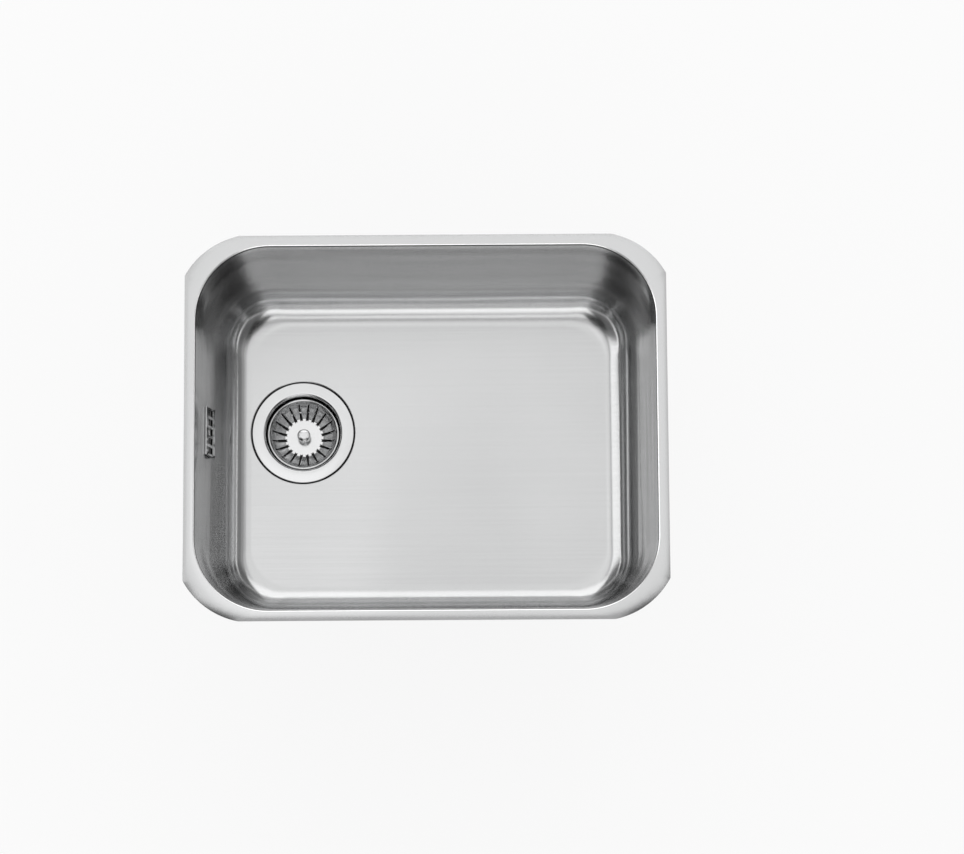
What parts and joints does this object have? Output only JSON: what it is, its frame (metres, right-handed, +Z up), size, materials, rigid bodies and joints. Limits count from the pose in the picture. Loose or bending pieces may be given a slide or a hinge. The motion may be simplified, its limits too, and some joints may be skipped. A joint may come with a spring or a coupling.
{
  "type": "undermount kitchen sink",
  "caption": "Undermount kitchen sink: drawn steel bowl with a narrow flat rim, a lift-out basket strainer waste off centre in the floor and a windowed end-wall overflow with its hose.",
  "frame": {"origin": "centre of the bowl's opening in the top face of the rim, which is the plane that meets the worktop's underside", "axes": "+Z up, out of the bowl; +X along the bowl's length, away from the overflow; +Y to the back"},
  "size_m": [0.5292, 0.424, 0.281],
  "materials": {
    "bowl_steel": "satin brushed stainless steel",
    "strainer_steel": "polished stainless steel",
    "cover_chrome": "chromed plastic",
    "rubber": "matt black rubber",
    "white_plastic": "moulded polypropylene",
    "grey_plastic": "moulded polypropylene",
    "brass": "turned brass",
    "pad": "bitumen damping sheet"
  },
  "bodies": {
    "sink": {"bowl": "bowl_steel", "sound_pad": "pad", "flange_seal": "rubber", "strainer_flange": "strainer_steel", "body_seal": "rubber", "waste_body": "white_plastic", "clamp_insert": "brass", "clamp_washer": "rubber", "clamp_screw": "strainer_steel", "overflow_cover": "cover_chrome", "overflow_screw": "strainer_steel", "overflow_seal": "rubber", "overflow_housing": "white_plastic", "hose_washer_upper": "rubber", "hose_nut_upper": "grey_plastic", "overflow_hose": "white_plastic", "hose_washer_lower": "rubber", "hose_nut_lower": "grey_plastic"},
    "plug": {"plug_seal": "rubber", "seal_carrier": "grey_plastic"},
    "basket": {"basket_stem": "strainer_steel", "basket_cup": "strainer_steel", "basket_knob": "strainer_steel"}
  },
  "joints": [
    {"name": "basket_lift", "type": "slide", "parent": "sink", "child": "plug", "axis": [0, 0, 1], "range_m": [0, 0.06]},
    {"name": "basket_turn", "type": "hinge", "parent": "plug", "child": "basket", "pos_m": [-0.141, 0.026, -0.212], "axis": [0, 0, 1], "continuous": true}
  ]
}
